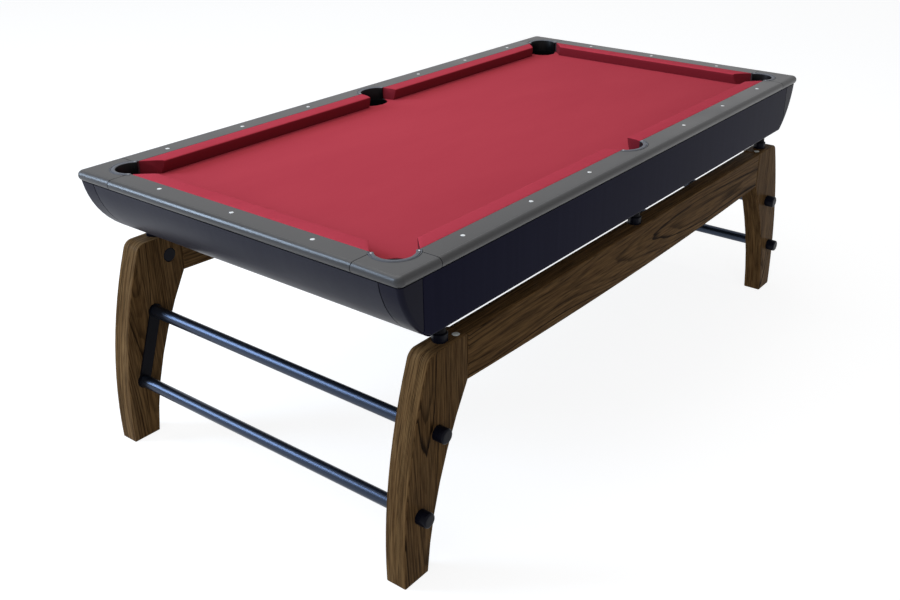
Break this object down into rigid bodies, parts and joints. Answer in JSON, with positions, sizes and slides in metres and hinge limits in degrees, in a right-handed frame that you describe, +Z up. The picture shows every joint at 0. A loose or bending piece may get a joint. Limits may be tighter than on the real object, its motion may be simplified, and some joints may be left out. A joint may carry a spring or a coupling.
{
  "type": "pool table",
  "caption": "Pool table with a boat-ended cabinet, red cloth and drop pockets, standing on screw jacks above a timber trestle with curved splayed legs and steel tie rods.",
  "frame": {"origin": "on the floor under the middle of the table", "axes": "+X along the table, +Y across it, +Z up; left is -X and front is -Y"},
  "size_m": [2.2038, 1.191, 0.8363],
  "materials": {
    "timber": "dark stained oak, satin",
    "cloth": "napped red cloth",
    "slate": "honed slate",
    "rail_cap": "satin grey",
    "casting": "satin grey casting",
    "apron": "charcoal satin laminate",
    "corner_cover": "charcoal satin moulding",
    "pocket": "moulded, fine grain",
    "rod": "blue-black gloss",
    "strap": "black satin",
    "collar": "black satin",
    "post": "black satin",
    "softwood": "sawn, unfinished"
  },
  "bodies": {
    "table": {"bed_cloth": "cloth", "corner_casting_back_left": "casting", "corner_casting_back_right": "casting", "corner_casting_front_left": "casting", "corner_casting_front_right": "casting", "corner_cover_back_left": "corner_cover", "corner_cover_back_right": "corner_cover", "corner_cover_front_left": "corner_cover", "corner_cover_front_right": "corner_cover", "cushion_back_left": "cloth", "cushion_back_right": "cloth", "cushion_end_left": "cloth", "cushion_end_right": "cloth", "cushion_front_left": "cloth", "cushion_front_right": "cloth", "end_apron_left": "apron", "end_apron_right": "apron", "end_rail_left": "rail_cap", "end_rail_right": "rail_cap", "leg_back_left": "timber", "leg_back_right": "timber", "leg_front_left": "timber", "leg_front_right": "timber", "pocket_back_left": "pocket", "pocket_back_middle": "pocket", "pocket_back_right": "pocket", "pocket_front_left": "pocket", "pocket_front_middle": "pocket", "pocket_front_right": "pocket", "rod_strap_back_left": "strap", "rod_strap_back_right": "strap", "rod_strap_front_left": "strap", "rod_strap_front_right": "strap", "side_apron_back": "apron", "side_apron_front": "apron", "side_beam_back": "timber", "side_beam_front": "timber", "side_rail_back": "rail_cap", "side_rail_front": "rail_cap", "slate_bearer_back": "softwood", "slate_bearer_front": "softwood", "slate_left": "slate", "slate_middle": "slate", "slate_right": "slate", "tie_rod_lower_left": "rod", "tie_rod_lower_right": "rod", "tie_rod_upper_left": "rod", "tie_rod_upper_right": "rod"},
    "collar_front_left": {"jack_collar_front_left": "collar"},
    "post_front_left": {"jack_post_front_left": "post"},
    "collar_front_middle": {"jack_collar_front_middle": "collar"},
    "post_front_middle": {"jack_post_front_middle": "post"},
    "collar_front_right": {"jack_collar_front_right": "collar"},
    "post_front_right": {"jack_post_front_right": "post"},
    "collar_back_left": {"jack_collar_back_left": "collar"},
    "post_back_left": {"jack_post_back_left": "post"},
    "collar_back_middle": {"jack_collar_back_middle": "collar"},
    "post_back_middle": {"jack_post_back_middle": "post"},
    "collar_back_right": {"jack_collar_back_right": "collar"},
    "post_back_right": {"jack_post_back_right": "post"}
  },
  "joints": [
    {"name": "collar_turn_front_left", "type": "hinge", "parent": "table", "child": "collar_front_left", "pos_m": [-0.91488, -0.5312, 0.6123], "axis": [0, 0, 1], "range_deg": [0, 720]},
    {"name": "post_slide_front_left", "type": "slide", "parent": "table", "child": "post_front_left", "axis": [0, 0, 1], "range_m": [-0.008, 0]},
    {"name": "collar_turn_front_middle", "type": "hinge", "parent": "table", "child": "collar_front_middle", "pos_m": [0, -0.5312, 0.6123], "axis": [0, 0, 1], "range_deg": [0, 720]},
    {"name": "post_slide_front_middle", "type": "slide", "parent": "table", "child": "post_front_middle", "axis": [0, 0, 1], "range_m": [-0.008, 0]},
    {"name": "collar_turn_front_right", "type": "hinge", "parent": "table", "child": "collar_front_right", "pos_m": [0.91488, -0.5312, 0.6123], "axis": [0, 0, 1], "range_deg": [0, 720]},
    {"name": "post_slide_front_right", "type": "slide", "parent": "table", "child": "post_front_right", "axis": [0, 0, 1], "range_m": [-0.008, 0]},
    {"name": "collar_turn_back_left", "type": "hinge", "parent": "table", "child": "collar_back_left", "pos_m": [-0.91488, 0.5312, 0.6123], "axis": [0, 0, 1], "range_deg": [0, 720]},
    {"name": "post_slide_back_left", "type": "slide", "parent": "table", "child": "post_back_left", "axis": [0, 0, 1], "range_m": [-0.008, 0]},
    {"name": "collar_turn_back_middle", "type": "hinge", "parent": "table", "child": "collar_back_middle", "pos_m": [0, 0.5312, 0.6123], "axis": [0, 0, 1], "range_deg": [0, 720]},
    {"name": "post_slide_back_middle", "type": "slide", "parent": "table", "child": "post_back_middle", "axis": [0, 0, 1], "range_m": [-0.008, 0]},
    {"name": "collar_turn_back_right", "type": "hinge", "parent": "table", "child": "collar_back_right", "pos_m": [0.91488, 0.5312, 0.6123], "axis": [0, 0, 1], "range_deg": [0, 720]},
    {"name": "post_slide_back_right", "type": "slide", "parent": "table", "child": "post_back_right", "axis": [0, 0, 1], "range_m": [-0.008, 0]}
  ],
  "couplings": [
    {"joint": "collar_turn_front_left", "follows": "post_slide_front_left", "rad_per_m": -1570.8},
    {"joint": "collar_turn_front_middle", "follows": "post_slide_front_middle", "rad_per_m": -1570.8},
    {"joint": "collar_turn_front_right", "follows": "post_slide_front_right", "rad_per_m": -1570.8},
    {"joint": "collar_turn_back_left", "follows": "post_slide_back_left", "rad_per_m": -1570.8},
    {"joint": "collar_turn_back_middle", "follows": "post_slide_back_middle", "rad_per_m": -1570.8},
    {"joint": "collar_turn_back_right", "follows": "post_slide_back_right", "rad_per_m": -1570.8}
  ]
}
